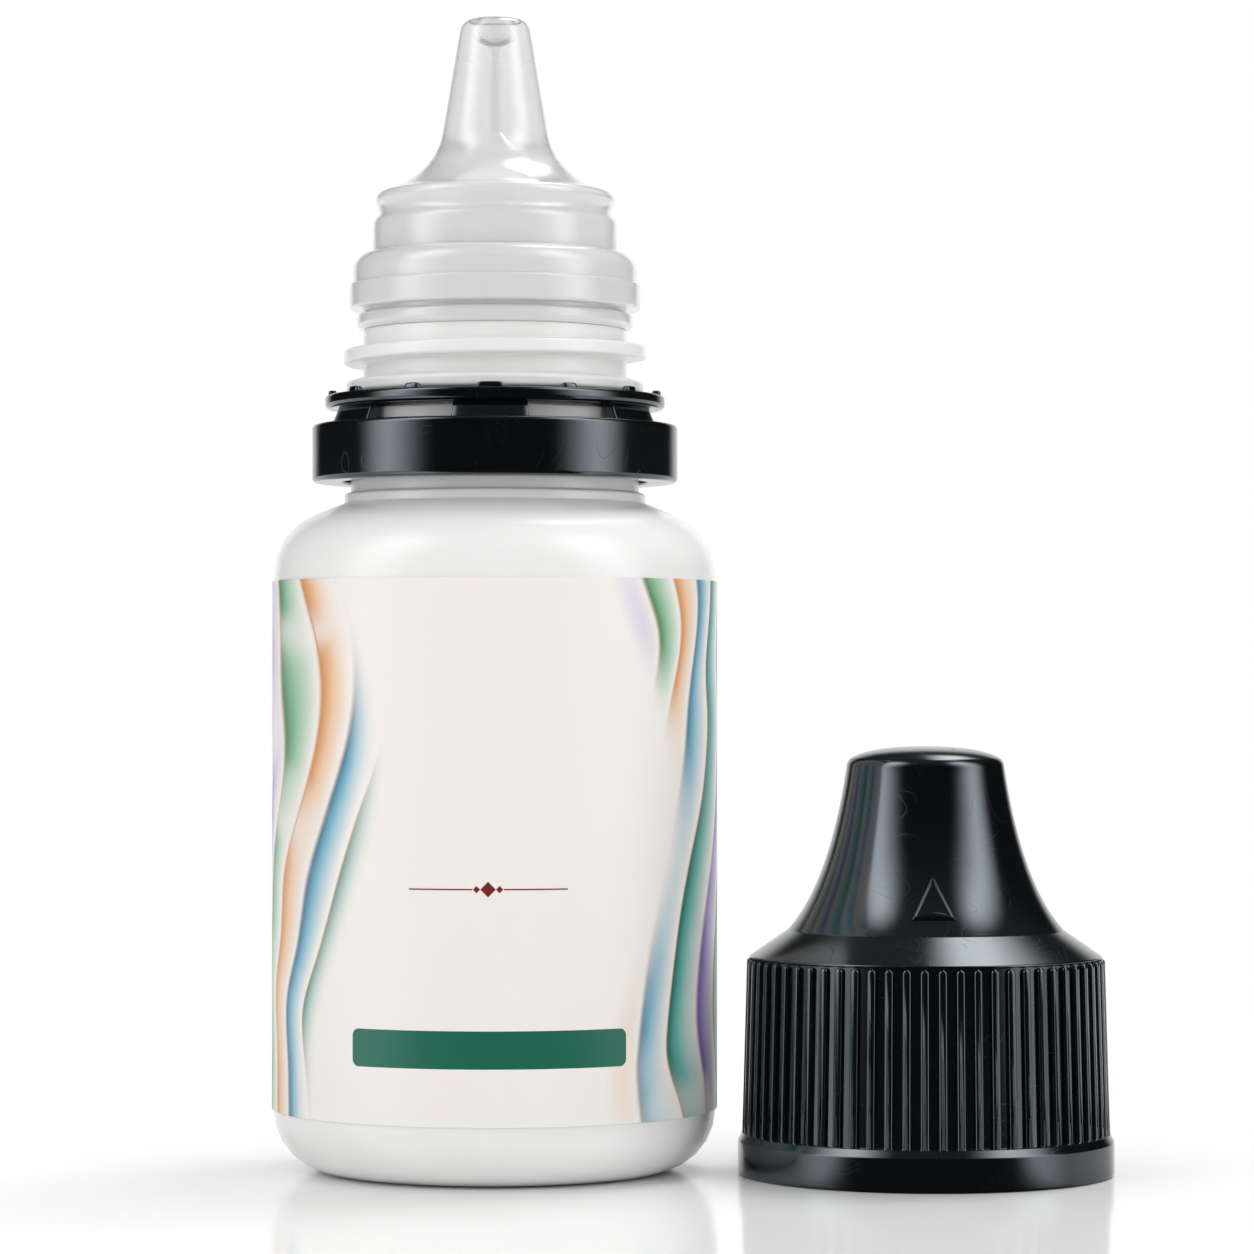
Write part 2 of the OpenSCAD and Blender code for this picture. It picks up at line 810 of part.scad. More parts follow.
// Stepped pin under the cap's top, which closes the cup in the nozzle's tip
module tip_seal() {
    pin_z = tip_in_cap - cup_depth + seal_gap;
    seat_z = tip_in_cap + fit;
    translate([0, 0, seat_z])
        cylinder(h = cavity_top_z + edge - seat_z, r = seal_r);
    translate([0, 0, pin_z])
        cylinder(h = cavity_top_z - pin_z, r = cup_r - fit);
}

// Screw cap, standing mouth down beside the bottle
module cap() {
    color(black)
    translate([cap_x, cap_y, 0]) {
        difference() {
            union() {
                rotate_extrude() cap_outline();
                grip_ribs();
                opening_mark();
            }
            rotate_extrude() cap_hollow();
        }
        helical_ridge(
            cap_bore_r, cap_thread_r, cap_thread_root_h, cap_thread_crest_h, cap_thread_z
        );
        tip_seal();
    }
}

bottle();
label();
flow_insert();
vent_filter();
valve();
nozzle();
snap_collar();
tamper_ring();
cap();
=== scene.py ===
"""Looks of an eye drop bottle with its dropper head, its tamper ring and the cap beside it.

Lengths in this script are millimetres until a mesh is made, and angles are degrees measured
from the front of the bottle, positive towards +X. A surface is a grid of points: an outline of
(radius, height) points is carried round an upright axis, or closed rings are stacked.
"""

import math

import bmesh
import bpy
import numpy as np
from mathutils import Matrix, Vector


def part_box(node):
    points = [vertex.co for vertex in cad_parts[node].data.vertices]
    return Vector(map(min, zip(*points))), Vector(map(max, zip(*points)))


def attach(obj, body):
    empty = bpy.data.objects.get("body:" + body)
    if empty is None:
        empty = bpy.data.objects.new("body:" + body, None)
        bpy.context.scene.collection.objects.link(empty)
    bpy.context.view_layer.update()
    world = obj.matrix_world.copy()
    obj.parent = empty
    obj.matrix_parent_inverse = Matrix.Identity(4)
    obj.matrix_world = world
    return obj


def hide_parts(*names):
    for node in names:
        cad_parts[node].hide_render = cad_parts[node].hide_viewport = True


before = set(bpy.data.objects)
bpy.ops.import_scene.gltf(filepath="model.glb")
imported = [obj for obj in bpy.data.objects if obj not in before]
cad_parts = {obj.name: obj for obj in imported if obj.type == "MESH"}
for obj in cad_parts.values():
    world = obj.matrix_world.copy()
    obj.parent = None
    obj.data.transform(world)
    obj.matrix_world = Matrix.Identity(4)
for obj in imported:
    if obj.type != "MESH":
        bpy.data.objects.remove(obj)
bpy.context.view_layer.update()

MM = 0.001
# Points of a surface once round its axis, the longest stretch from an arc to its holding point,
# and the widest angle between two points of an arc
SEGMENTS = 192
HOLD = 0.04
ARC_STEP = 15.0


def mm_box(node):
    """Lowest and highest corner of a CAD node, in millimetres."""
    low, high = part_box(node)
    return np.array(low) / MM, np.array(high) / MM


_, bottle_high = mm_box("bottle")
label_low, label_high = mm_box("label")
nozzle_low, nozzle_high = mm_box("nozzle")
collar_low, collar_high = mm_box("snap_collar")
ring_low, ring_high = mm_box("tamper_ring")
cap_low, cap_high = mm_box("cap")

# Bottle
BODY_R = bottle_high[0]
RIM_Z = bottle_high[2]
WALL = 1.0
FOOT_R = 3.4
PUSH_UP = 0.8
STAND_OUT_R = BODY_R - FOOT_R
STAND_IN_R = STAND_OUT_R - 1.2
BODY_TOP_Z = 33.4
SHOULDER_R = 3.55
SHOULDER_SLOPE = 22.0
FOOT_BEAD_R = 8.45
FOOT_BEAD_H = 0.55
LOW_NECK_R = 8.1
NECK_R = 7.4
BORE_R = 5.9
SPIGOT_R = 6.9
SPIGOT_Z = RIM_Z - 2.3
SNAP_Z = SPIGOT_Z + 0.95
LEDGE_Z = SPIGOT_Z - 4.5
NECK_Z = LEDGE_Z - 5.2
RETAIN_R = 8.35
RETAIN_H = 0.65
RETAIN_RAMP = 0.25
THREAD_R = 8.5
THREAD_Z = LEDGE_Z + 3.15
THREAD_ROOT_H = 1.0
THREAD_CREST_H = 0.75
THREAD_LEAD = 0.65
THREAD_SWEEP = 340.0
THREAD_FADE = 24.0
THREAD_ROOT_ROUND = 0.06

# Label
FILM = 0.1
LAP = 3.0
LAP_START = 168.0
LAP_TURN = 4.0
BAR_Z = 4.15
BAR_W = 15.8
BAR_H = 2.04
BAR_ROUND = 0.4
RULE_Z = 12.75
RULE_W = 3.5
RULE_OFF = 2.6

# Dropper head
HEAD_Z = nozzle_low[2]
TIP_Z = nozzle_high[2]
FOOT_RIM_R = nozzle_high[0]
FOOT_T = 0.65
DRUM_R = 6.9
DRUM_WALL = 0.95
BEAD_Z = HEAD_Z + 4.5
BEAD_BULGE = 0.44
FLANK_Z = BEAD_Z + BEAD_BULGE
SPOUT_Z = FLANK_Z + 3.5
SPOUT_ROOT_R = 2.95
SPOUT_TIP_R = 2.0
TIP_ROUND = 0.8
CUP_R = 0.85
CHANNEL_R = 0.25
FLANGE_R = collar_high[0]
COLLAR_R = 8.0
LIP_Z = collar_low[2]
LIP_R = 7.78
LIP_H = 0.9
LIP_ROUND = 0.35
WAIST_R = SPIGOT_R + 0.55
FLANGE_Z = LIP_Z + LIP_H + 0.25
FLANGE_H = 1.45
FIT = 0.05

# Tamper ring
RING_R = ring_high[0]
RING_LOW_Z = ring_low[2]
HOOP_R = 9.55
HOOP_IN_R = NECK_R + 0.4
HOOP_Z = LEDGE_Z + 0.1
HOOP_H = 0.75
BAND_IN_R = LOW_NECK_R + 0.5
BAND_TOP_Z = HOOP_Z - 0.9
WEB_COUNT = 6
WEB_SPAN = 26.0
WEB_T = 0.75
STUB_COUNT = 13
STUB_H = ring_high[2] - HOOP_Z - HOOP_H

# Cap, in its own frame with its mouth at zero
CAP_X = (cap_low[0] + cap_high[0]) / 2
CAP_Y = (cap_low[1] + cap_high[1]) / 2
CAP_H = cap_high[2]
BAND_R = (cap_high[0] - cap_low[0]) / 2
BAND_H = 1.85
GRIP_LOW_R = 9.95
GRIP_LOW_Z = BAND_H + 0.42
GRIP_TOP_R = 9.68
CAP_SEAT_Z = HOOP_Z + HOOP_H + STUB_H + 0.35
GRIP_TOP_Z = FLANK_Z - CAP_SEAT_Z + 1.11
CHAMFER_R = 7.7
CHAMFER_Z = GRIP_TOP_Z + 1.53
CAP_TOP_R = 4.4
DOME_Z = CAP_H - 1.15
DOME_ROUND = 0.6
CAP_BORE_R = THREAD_R + 0.1
CAP_THREAD_R = FLANGE_R + 0.07
RIB_COUNT = 64
RIB_W = 0.5
RIB_H = 0.28
RIB_TOP_Z = GRIP_TOP_Z - 0.08
RIB_PHASE = 1.6
MARK_W = 2.4
MARK_H = 2.4
MARK_Z = 15.55
MARK_SLANT = 1.02
MARK_OUT = 0.13
MARK_LENS = 0.32

# Camera, from the photograph's perspective
CAMERA_X = 7.43
CAMERA_DISTANCE = 251.8
CAMERA_Z = 27.3
CAMERA_PITCH = 0.717
CAMERA_LENS = 128.4


def arc(r, z, radius, start, end):
    """Circle stretch round (r, z) from angle start to angle end."""
    count = max(2, math.ceil(abs(end - start) / ARC_STEP)) + 1
    angles = np.radians(np.linspace(start, end, count))
    return np.column_stack([r + radius * np.cos(angles), z + radius * np.sin(angles)])


def curve(points, count=24):
    """Cubic Bezier curve with four control points, by the Bernstein formula."""
    p = np.array(points, float)
    t = np.linspace(0, 1, count)[:, None]
    s = 1 - t
    return s**3 * p[0] + 3 * s**2 * t * p[1] + 3 * s * t**2 * p[2] + t**3 * p[3]


def rounded(corners, closed=False):
    """Outline through (r, z) or (r, z, radius) corners. A corner with a radius becomes an arc
    tangent to its two sides, between two holding points that keep the sides' shading flat."""
    places = np.array([corner[:2] for corner in corners], float)
    radii = np.array([corner[2] if len(corner) > 2 else 0 for corner in corners])
    if not closed:
        radii[[0, -1]] = 0
    ahead = np.roll(places, -1, axis=0) - places
    side = np.linalg.norm(ahead, axis=1)
    ahead = ahead / side[:, None]
    back = -np.roll(ahead, 1, axis=0)
    half = np.arccos(np.clip((back * ahead).sum(axis=1), -1, 1)) / 2
    reach = np.zeros(len(places))
    reach[radii > 0] = radii[radii > 0] / np.tan(half[radii > 0])
    free = (side - reach - np.roll(reach, -1)) * 0.4
    hold_ahead = np.minimum(HOLD, free)
    hold_back = np.roll(hold_ahead, 1)
    stretches = []
    for index, here in enumerate(places):
        if not radii[index]:
            stretches.append(here[None])
            continue
        middle = back[index] + ahead[index]
        middle = middle / np.linalg.norm(middle)
        centre = here + middle * radii[index] / math.sin(half[index])
        first = here + back[index] * reach[index] - centre
        last = here + ahead[index] * reach[index] - centre
        start = math.degrees(math.atan2(first[1], first[0]))
        turn = math.degrees(math.atan2(last[1], last[0])) - start
        turn = (turn + 180) % 360 - 180
        stretches.append((here + back[index] * (reach[index] + hold_back[index]))[None])
        stretches.append(arc(centre[0], centre[1], radii[index], start, start + turn))
        stretches.append((here + ahead[index] * (reach[index] + hold_ahead[index]))[None])
    return np.vstack(stretches)


def around(outlines, centre=(0, 0)):
    """Points of outlines (angles, points, radius and height) carried round an upright axis:
    x = r sin a and y = -r cos a, with the angle a running once round from the back."""
    angles = np.radians(np.linspace(-180, 180, SEGMENTS, endpoint=False))[:, None]
    r, z = outlines[..., 0], outlines[..., 1]
    x = centre[0] + r * np.sin(angles)
    y = centre[1] - r * np.cos(angles)
    return np.stack([x, y, np.broadcast_to(z, x.shape)], axis=-1)


def revolve(outline, centre=(0, 0), closed=True):
    """Grid of one outline carried round; a closed one joins its last point to its first."""
    turned = around(np.broadcast_to(outline, (SEGMENTS, *outline.shape)), centre)
    return turned, True, closed


def helix_ridge(root_r, crest_r, root_h, crest_h, mid_z, sweep=THREAD_SWEEP):
    """Outline stretch of a helical ridge at every angle a: the root stays a cylinder, the ridge
    stands out by its section times the fade of its ends, and its height rises with a by the
    lead. In the gap at the back, the rise runs back to zero."""
    margin = 2 * THREAD_ROOT_ROUND + 0.01
    crest_round = min(0.16, 0.4 * crest_h)
    section = rounded([
        (0, -root_h / 2 - margin),
        (0, -root_h / 2, THREAD_ROOT_ROUND),
        (1, -crest_h / 2, crest_round),
        (1, crest_h / 2, crest_round),
        (0, root_h / 2, THREAD_ROOT_ROUND),
        (0, root_h / 2 + margin),
    ])
    angles = np.linspace(-180, 180, SEGMENTS, endpoint=False)
    ends = np.clip((sweep / 2 - abs(angles)) / THREAD_FADE, 0, 1)
    fade = np.sqrt(1 - (1 - ends) ** 2)[:, None]
    gap = 180 - sweep / 2
    rise = THREAD_LEAD / 360 * np.where(
        abs(angles) < sweep / 2, angles, np.sign(angles) * sweep / 2 * (180 - abs(angles)) / gap
    )
    r = root_r + (crest_r - root_r) * np.clip(section[:, 0], 0, 1) * fade
    z = mid_z + section[:, 1] + rise[:, None]
    return np.stack([r, np.broadcast_to(z, r.shape)], axis=-1)


def joined(*stretches):
    """Outlines at every angle, from stretches that turn with the angle or stay the same."""
    same = [
        stretch if stretch.ndim == 3 else np.broadcast_to(stretch, (SEGMENTS, *stretch.shape))
        for stretch in stretches
    ]
    return np.concatenate(same, axis=1)


def stacked(rings):
    """Grid of closed rings stacked on each other, each end drawn in to its middle."""
    first = np.broadcast_to(rings[:1].mean(axis=1, keepdims=True), rings[:1].shape)
    last = np.broadcast_to(rings[-1:].mean(axis=1, keepdims=True), rings[-1:].shape)
    return np.concatenate([first, rings, last]), False, True


def grid_faces(rows, columns, wrap_rows, wrap_columns):
    """Corner numbers of the quads of a grid of points."""
    row = np.arange(rows if wrap_rows else rows - 1)[:, None]
    column = np.arange(columns if wrap_columns else columns - 1)[None, :]
    next_row, next_column = (row + 1) % rows, (column + 1) % columns
    corners = [
        row * columns + column,
        next_row * columns + column,
        next_row * columns + next_column,
        row * columns + next_column,
    ]
    return np.stack(np.broadcast_arrays(*corners), axis=-1).reshape(-1, 4)


def build(name, grids, material, body, node):
    """Mesh of several closed grids, merged where points meet, with its faces turned outwards,
    riding on its body in place of its CAD node."""
    points, faces, start = [], [], 0
    for grid, wrap_rows, wrap_columns in grids:
        rows, columns = grid.shape[:2]
        points.append(grid.reshape(-1, 3) * MM)
        faces.append(grid_faces(rows, columns, wrap_rows, wrap_columns) + start)
        start += rows * columns
    mesh = bpy.data.meshes.new(name)
    mesh.from_pydata(np.vstack(points).tolist(), [], np.vstack(faces).tolist())
    shape = bmesh.new()
    shape.from_mesh(mesh)
    bmesh.ops.remove_doubles(shape, verts=shape.verts, dist=1e-8)
    bmesh.ops.recalc_face_normals(shape, faces=shape.faces)
    shape.to_mesh(mesh)
    shape.free()
    mesh.shade_smooth()
    mesh.materials.append(material)
    piece = bpy.data.objects.new(name, mesh)
    bpy.context.scene.collection.objects.link(piece)
    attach(piece, body)
    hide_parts(node)
    return piece


class Graph:
    """Short words for the nodes of one material or world."""

    def __init__(self, owner):
        owner.use_nodes = True
        self.tree = owner.node_tree
        self.tree.nodes.clear()

    def node(self, kind, inputs=(), **settings):
        """New node with its settings and inputs."""
        made = self.tree.nodes.new(kind)
        for key, value in settings.items():
            setattr(made, key, value)
        for key, value in dict(inputs).items():
            self.put(made.inputs[key], value)
        return made

    def put(self, socket, value):
        """Link or value of an input."""
        if isinstance(value, bpy.types.NodeSocket):
            self.tree.links.new(value, socket)
        else:
            socket.default_value = value

    def math(self, operation, *values):
        made = self.node("ShaderNodeMath", operation=operation)
        for socket, value in zip(made.inputs, values):
            self.put(socket, value)
        return made.outputs[0]

    def step(self, value, low, high):
        """Smooth rise from 0 at low to 1 at high."""
        inputs = {"Value": value, "From Min": low, "From Max": high}
        kind = "SMOOTHSTEP" if low < high else "LINEAR"
        return self.node("ShaderNodeMapRange", inputs, interpolation_type=kind).outputs[0]

    def mix(self, share, first, second):
        """Mix of two colours."""
        made = self.node("ShaderNodeMix", data_type="RGBA")
        for socket, value in zip((made.inputs[0], made.inputs[6], made.inputs[7]),
                                 (share, first, second)):
            self.put(socket, value)
        return made.outputs[2]

    def blend(self, share, first, second):
        """Mix of two numbers."""
        values = {0: share, 2: first, 3: second}
        return self.node("ShaderNodeMix", values, data_type="FLOAT").outputs[0]

    def noise(self, vector, scale, detail=2.0, **inputs):
        values = {"Vector": vector, "Scale": scale, "Detail": detail, **inputs}
        return self.node("ShaderNodeTexNoise", values).outputs["Fac"]

    def place(self):
        """Object coordinates."""
        return self.node("ShaderNodeTexCoord").outputs["Object"]

    def bump(self, height, strength, distance):
        inputs = {"Height": height, "Strength": strength, "Distance": distance}
        return self.node("ShaderNodeBump", inputs).outputs[0]

    def shader(self, inputs):
        """Principled surface of a material."""
        made = self.node("ShaderNodeBsdfPrincipled", inputs)
        self.node("ShaderNodeOutputMaterial", {"Surface": made.outputs[0]})


def rgb(red, green, blue):
    """Linear colour of an sRGB one with channels from 0 to 255."""
    channels = np.array([red, green, blue]) / 255
    linear = np.where(channels <= 0.04045, channels / 12.92, ((channels + 0.055) / 1.055) ** 2.4)
    return (*linear, 1.0)


def moulded(name, colour, roughness, bump=0.15, **inputs):
    """Moulded plastic: one colour that drifts a little, with a faint orange peel."""
    material = bpy.data.materials.new(name)
    graph = Graph(material)
    place = graph.place()
    drift = graph.noise(place, 90)
    darker = tuple(channel * 0.96 for channel in colour[:3]) + (1.0,)
    peel = graph.noise(place, 2600, 1.0)
    graph.shader({
        "Base Color": graph.mix(drift, colour, darker),
        "Roughness": roughness,
        "Normal": graph.bump(peel, bump, 0.00002),
        **inputs,
    })
    return material


def black_plastic():
    """Glossy black plastic. Faint hairlines, level lines of a noise that break off where a
    second noise is low, are a little rougher, and so they catch light beside the highlights."""
    material = bpy.data.materials.new("gloss_black")
    graph = Graph(material)
    place = graph.place()
    level = graph.math("MULTIPLY", graph.noise(place, 190, 1.5, Distortion=1.2), 11.0)
    off = graph.math("ABSOLUTE", graph.math("SUBTRACT", graph.math("FRACT", level), 0.5))
    lines = graph.math("SUBTRACT", 1.0, graph.step(off, 0.0, 0.05))
    scratches = graph.math("MULTIPLY", lines, graph.step(graph.noise(place, 420, 2.0), 0.42, 0.6))
    cloud = graph.noise(place, 500, 2.0)
    roughness = graph.math("MULTIPLY_ADD", cloud, 0.04, 0.12)
    graph.shader({
        "Base Color": graph.mix(cloud, rgb(5, 8, 10), rgb(8, 12, 14)),
        "Roughness": graph.math("MULTIPLY_ADD", scratches, 0.16, roughness),
        "IOR": 1.9,
        "Specular Tint": rgb(232, 246, 255),
        "Normal": graph.bump(cloud, 0.12, 0.00003),
    })
    return material


def frosted_plastic():
    """Clear moulded plastic with a milky haze. Part of the light goes through it, bent softly,
    and the rest is scattered; the thin walls of the spout let more through, and its tip, which
    shows the cup inside, the most."""
    material = bpy.data.materials.new("translucent_plastic")
    graph = Graph(material)
    place = graph.place()
    height = graph.node("ShaderNodeSeparateXYZ", {"Vector": place}).outputs["Z"]
    clearer = graph.step(height, FLANK_Z * MM, (SPOUT_Z + 1) * MM)
    tip = graph.step(height, (TIP_Z - 8) * MM, TIP_Z * MM)
    through = graph.math("MULTIPLY_ADD", tip, 0.3, graph.math("MULTIPLY_ADD", clearer, 0.2, 0.3))
    cloud = graph.noise(place, 600, 2.0)
    graph.shader({
        "Base Color": graph.mix(cloud, rgb(253, 253, 252), rgb(249, 249, 249)),
        "Roughness": graph.math("MULTIPLY_ADD", cloud, 0.04, 0.06),
        "IOR": 1.45,
        "Coat Weight": 0.5,
        "Coat Roughness": 0.06,
        "Transmission Weight": through,
        "Normal": graph.bump(cloud, 0.1, 0.00003),
    })
    return material


def silk(graph, flow, light):
    """Soft folds of silk: a ramp of colours follows the flow through five folds, each from deep
    to pale. The light share bleaches them, and a gold line marks each fold's edge."""
    folds = (
        ((20, 110, 98), (112, 186, 178)),
        ((118, 96, 186), (190, 174, 226)),
        ((62, 132, 86), (150, 198, 164)),
        ((218, 148, 88), (242, 202, 164)),
        ((44, 122, 156), (140, 192, 212)),
    )
    pale = (245, 241, 236)
    share = graph.math("FRACT", graph.math("DIVIDE", flow, float(len(folds))))
    stops = []
    for index, (deep, middle) in enumerate(folds):
        for at, colour in ((0.02, deep), (0.35, middle), (0.9, pale)):
            stops.append(((index + at) / len(folds), colour))
    graded = graph.node("ShaderNodeValToRGB", {"Fac": share})
    ramp = graded.color_ramp
    while len(ramp.elements) < len(stops):
        ramp.elements.new(1.0)
    for element, (at, colour) in zip(ramp.elements, stops):
        element.position = at
        element.color = rgb(*colour)
    colour = graph.mix(light, graded.outputs[0], rgb(*pale))
    across = graph.math("FRACT", flow)
    edge = graph.math("MINIMUM", across, graph.math("SUBTRACT", 1.0, across))
    gold = graph.math("SUBTRACT", 1.0, graph.step(edge, 0.012, 0.03))
    return graph.mix(graph.math("MULTIPLY", gold, 0.75), colour, rgb(200, 156, 104))


def wave(graph, height, rate, start, swing, middle):
    """Angle that sways round its middle with the height, as a sine."""
    phase = graph.math("MULTIPLY_ADD", height, rate, start)
    return graph.math("MULTIPLY_ADD", graph.math("SINE", phase), swing, middle)


def label_print():
    """Satin film. The print is worked out from the angle round the bottle and the height: folds
    of silk run up both sides, bent by a sine and a noise, and fade out towards the front and
    the back."""
    material = bpy.data.materials.new("printed_film")
    graph = Graph(material)
    place = graph.place()
    x, y, z = graph.node("ShaderNodeSeparateXYZ", {"Vector": place}).outputs
    angle = graph.math("ARCTAN2", x, graph.math("MULTIPLY", y, -1.0))
    degrees = graph.math("MULTIPLY", angle, 180 / math.pi)
    height = graph.math("MULTIPLY_ADD", z, 1 / MM, -label_low[2])
    across = graph.math("MULTIPLY", angle, label_high[0])

    bend = graph.noise(place, 48, 1.2, Distortion=0.5)
    curl = graph.math("SINE", graph.math("MULTIPLY_ADD", height, 0.15, 0.9))
    flow = graph.math("ADD", graph.math("MULTIPLY_ADD", across, 0.42, graph.math(
        "MULTIPLY", curl, 1.1)), graph.math("MULTIPLY_ADD", bend, 4.2, 7.0))
    light = graph.step(graph.noise(place, 130, 1.0, Distortion=0.6), 0.56, 0.85)
    colour = silk(graph, flow, light)

    left = wave(graph, height, 0.17, 4.6, 12.0, -42.0)
    right = wave(graph, height, 0.21, 1.1, -11.0, 44.0)
    inward = graph.math("MAXIMUM", graph.math("SUBTRACT", left, degrees),
                        graph.math("SUBTRACT", degrees, right))
    side = graph.math("ABSOLUTE", degrees)
    inked = graph.math("MULTIPLY", graph.step(inward, -4.0, 9.0),
                       graph.math("SUBTRACT", 1.0, graph.step(side, 118.0, 150.0)))
    colour = graph.mix(inked, rgb(246, 241, 236), colour)

    for mask, ink in printed_signs(graph, across, height):
        colour = graph.mix(mask, colour, ink)
    graph.shader({
        "Base Color": colour,
        "Roughness": 0.34,
        "Normal": graph.bump(graph.noise(place, 1500), 0.08, 0.00002),
    })
    return material


def printed_signs(graph, across, height):
    """Masks and inks of the plain signs on the front: a filled bar with round corners and a
    hairline with a lozenge in its middle. A mask is one inside the sign's outline."""
    green = rgb(20, 105, 85)
    maroon = rgb(128, 32, 30)

    def away(value, middle):
        """Distance of a value from the middle."""
        return graph.math("ABSOLUTE", graph.math("SUBTRACT", value, middle))

    def round_bar(mid_x, mid_z, width, tall, radius):
        """Mask of a bar: points nearer than the radius to the bar without its round edge."""
        over_x = graph.math("SUBTRACT", away(across, mid_x), width / 2 - radius)
        over_z = graph.math("SUBTRACT", away(height, mid_z), tall / 2 - radius)
        out_x = graph.math("MAXIMUM", over_x, 0.0)
        out_z = graph.math("MAXIMUM", over_z, 0.0)
        far = graph.math("SQRT", graph.math("ADD", graph.math("MULTIPLY", out_x, out_x),
                                            graph.math("MULTIPLY", out_z, out_z)))
        return graph.math("LESS_THAN", far, radius)

    def lozenge(mid_x, half):
        """Mask of a lozenge on the hairline, by the sum of both distances from its middle."""
        far = graph.math("ADD", away(across, mid_x), away(height, RULE_Z))
        return graph.math("LESS_THAN", far, half)

    yield round_bar(0, BAR_Z, BAR_W, BAR_H, BAR_ROUND), green
    for side in (-1, 1):
        yield round_bar(side * RULE_OFF, RULE_Z, RULE_W, 0.08, 0.02), maroon
    yield lozenge(0, 0.42), maroon
    for mid_x in (-0.62, 0.62):
        yield lozenge(mid_x, 0.2), maroon


def make_bottle(material):
    """Bottle: base, round foot, wall, round shoulder and neck finish, with the hollow inside."""
    end = 90 - SHOULDER_SLOPE
    shoulder_x = BODY_R - SHOULDER_R
    inner_r = SHOULDER_R - WALL
    slope = math.tan(math.radians(SHOULDER_SLOPE))
    bore_z = BODY_TOP_Z + inner_r * math.sin(math.radians(end)) + slope * (
        shoulder_x + inner_r * math.cos(math.radians(end)) - BORE_R)
    retain_z = HOOP_Z + HOOP_H + 0.1
    retain_top = retain_z + RETAIN_H
    neck_top = LIP_Z - 0.01
    low = np.vstack([
        rounded([
            (0, PUSH_UP), (STAND_IN_R - PUSH_UP, PUSH_UP, 0.5), (STAND_IN_R, 0, 0.2),
            (STAND_OUT_R, 0),
        ]),
        arc(STAND_OUT_R, FOOT_R, FOOT_R, -90, 0)[1:],
        arc(shoulder_x, BODY_TOP_Z, SHOULDER_R, 0, end),
        rounded([
            (FOOT_BEAD_R + 0.2, NECK_Z - 0.2 * slope),
            (FOOT_BEAD_R, NECK_Z, 0.1), (FOOT_BEAD_R, NECK_Z + FOOT_BEAD_H, 0.16),
            (LOW_NECK_R, NECK_Z + FOOT_BEAD_H, 0.1), (LOW_NECK_R, LEDGE_Z, 0.15),
            (NECK_R, LEDGE_Z, 0.1), (NECK_R, retain_z, 0.02), (RETAIN_R, retain_z, 0.2),
            (RETAIN_R, retain_top, 0.2), (NECK_R, retain_top + RETAIN_RAMP, 0.12),
            (NECK_R, retain_top + RETAIN_RAMP + 0.2),
        ]),
    ])
    thread = helix_ridge(NECK_R, THREAD_R, THREAD_ROOT_H, THREAD_CREST_H, THREAD_Z)
    high = np.vstack([
        rounded([
            (NECK_R, SPIGOT_Z - 0.2), (NECK_R, neck_top, 0.04), (SPIGOT_R, neck_top, 0.03),
            (SPIGOT_R, SNAP_Z, 0.02), (SPIGOT_R + 0.2, SNAP_Z + 0.15, 0.08),
            (SPIGOT_R + 0.2, SNAP_Z + 0.3, 0.08), (SPIGOT_R, SNAP_Z + 0.65, 0.05),
            (SPIGOT_R, RIM_Z, 0.15), (BORE_R, RIM_Z, 0.1), (BORE_R, bore_z, 0.3),
            (BORE_R + 0.5, bore_z - 0.5 * slope),
        ]),
        arc(shoulder_x, BODY_TOP_Z, inner_r, end, 0),
        arc(STAND_OUT_R, FOOT_R, FOOT_R - WALL, 0, -90),
        rounded([
            (STAND_OUT_R - 0.1, WALL), (STAND_IN_R, WALL, 0.2),
            (STAND_IN_R - PUSH_UP, PUSH_UP + WALL, 0.2), (0, PUSH_UP + WALL),
        ]),
    ])
    outlines = joined(low, thread, high)
    return build("bottle_body", [(around(outlines), True, False)], material,
                 "bottle", "bottle")


def make_label(material):
    """Film once round the body and a little further: its section is a thin upright strip, and
    its radius rises by one thickness where the outer end laps over the inner one."""
    lap = math.degrees(LAP / label_high[0])
    angles = np.concatenate([np.linspace(-180, 172, 353), np.linspace(172.5, 180 + lap / 2, 32)])
    inner = label_high[0] - FILM
    rise = FILM * np.clip((angles - LAP_START) / LAP_TURN, 0, 1) * 0.97
    low, high = label_low[2], label_high[2]
    section = rounded([
        (0, low, 0.02), (FILM, low, 0.03), (FILM, high, 0.03), (0, high, 0.02)
    ], closed=True)
    turn = np.radians(angles - lap / 2)[:, None]
    r = inner + section[:, 0] * 0.99 + rise[:, None]
    rings = np.stack([
        r * np.sin(turn), -r * np.cos(turn), np.broadcast_to(section[:, 1], r.shape)
    ], axis=-1)
    return build("wrap_label", [stacked(rings)], material, "bottle", "label")


